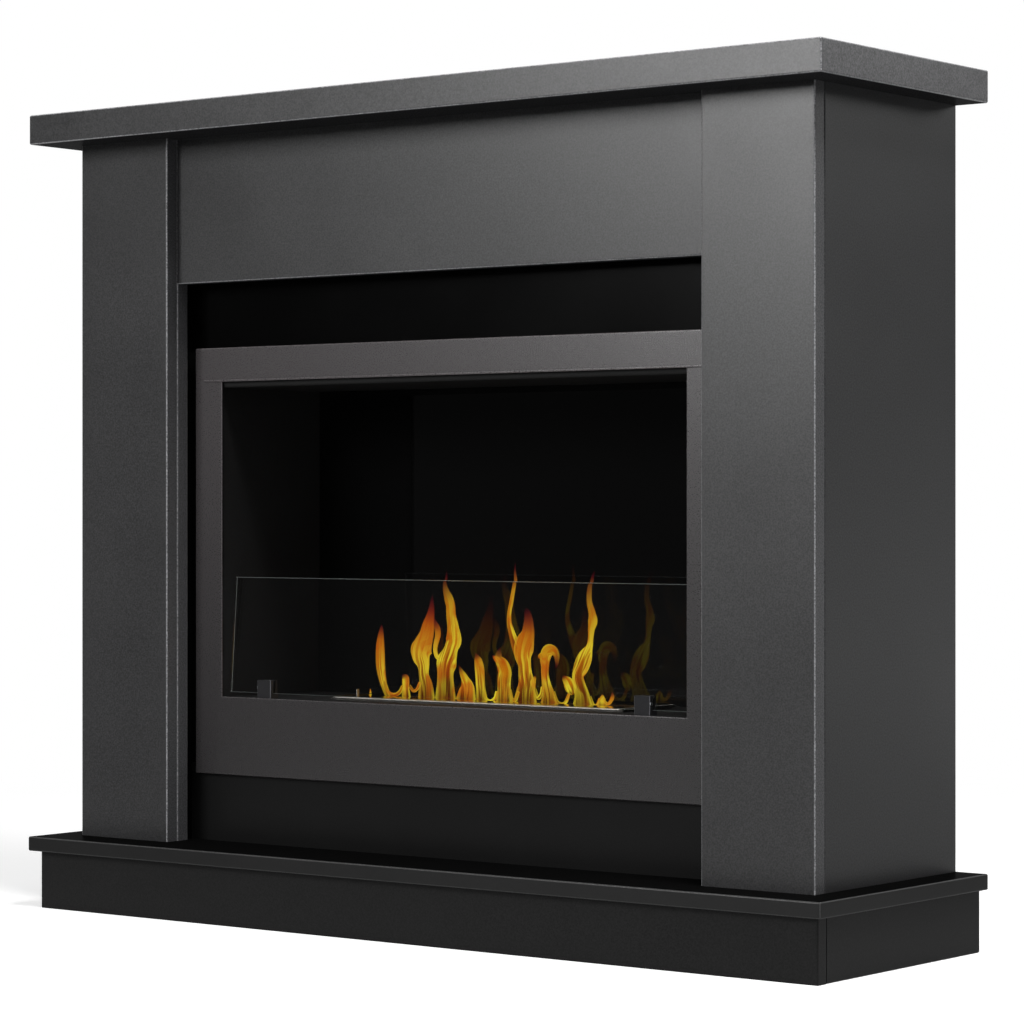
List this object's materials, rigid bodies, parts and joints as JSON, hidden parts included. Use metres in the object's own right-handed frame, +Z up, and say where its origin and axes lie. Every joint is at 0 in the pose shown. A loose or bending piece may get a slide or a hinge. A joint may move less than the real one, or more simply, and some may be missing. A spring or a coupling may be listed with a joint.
{
  "type": "bioethanol fireplace",
  "caption": "Free-standing bioethanol fireplace: lacquered mantel surround, folded steel firebox insert, lift-out burner with sliding damper, and a low glass windscreen.",
  "frame": {"origin": "on the floor, under the centre of the bounding box", "axes": "+X to the right seen from the front, +Y towards the wall, +Z up; the front faces -Y"},
  "size_m": [1.18, 0.352, 1],
  "materials": {
    "graphite_lacquer": "matt graphite lacquer on MDF",
    "black_lacquer": "satin black lacquer on MDF",
    "black_niche": "structured black paint on MDF",
    "bare_mdf": "raw sanded MDF",
    "beech": "bare beech",
    "powder_coat": "fine textured grey powder coat",
    "black_steel": "matt black heat-resistant paint",
    "galvanised_steel": "galvanised sheet",
    "black_glass": "opaque black ceramic glass, polished",
    "clear_glass": "clear tempered glass, ground edges",
    "stainless": "brushed stainless steel",
    "ceramic_wool": "white ceramic fibre",
    "clip_black": "satin black lacquer on steel",
    "gasket_rubber": "black silicone rubber",
    "zinc_screw": "zinc plated"
  },
  "bodies": {
    "root": {"mantel_shelf": "graphite_lacquer", "header_board": "graphite_lacquer", "left_pilaster_facing": "graphite_lacquer", "right_pilaster_facing": "graphite_lacquer", "left_stile": "graphite_lacquer", "right_stile": "graphite_lacquer", "left_side_panel": "graphite_lacquer", "right_side_panel": "graphite_lacquer", "left_upright": "black_niche", "right_upright": "black_niche", "upper_niche_panel": "black_niche", "lower_niche_panel": "black_lacquer", "insert_shelf": "bare_mdf", "top_back_rail": "bare_mdf", "bottom_back_rail": "bare_mdf", "hearth_board": "black_lacquer", "plinth_front_board": "black_lacquer", "left_plinth_side": "black_lacquer", "right_plinth_side": "black_lacquer", "plinth_back_board": "bare_mdf", "plinth_cross_rails": "bare_mdf", "plinth_corner_blocks": "bare_mdf", "header_tenons": "beech", "mantel_tenons": "beech", "hearth_tenons": "beech", "insert_frame": "powder_coat", "outer_casing": "galvanised_steel", "casing_back": "galvanised_steel", "casing_screws": "zinc_screw", "firebox_floor": "black_steel", "left_firebox_wall": "black_steel", "right_firebox_wall": "black_steel", "firebox_back_wall": "black_steel", "heat_shield": "black_steel", "back_liner": "black_glass", "glass_pane": "clear_glass", "left_glass_clip": "clip_black", "right_glass_clip": "clip_black", "clip_gaskets": "gasket_rubber", "clip_screws": "zinc_screw"},
    "burner": {"burner_tank": "stainless", "burner_top_plate": "stainless", "ceramic_wool_pad": "ceramic_wool"},
    "damper": {"damper_plate": "stainless"}
  },
  "joints": [
    {"name": "burner_lift", "type": "slide", "parent": "root", "child": "burner", "axis": [0, 0, 1], "range_m": [0, 0.09]},
    {"name": "damper_slide", "type": "slide", "parent": "burner", "child": "damper", "axis": [0, 1, 0], "range_m": [0, 0.046]}
  ]
}
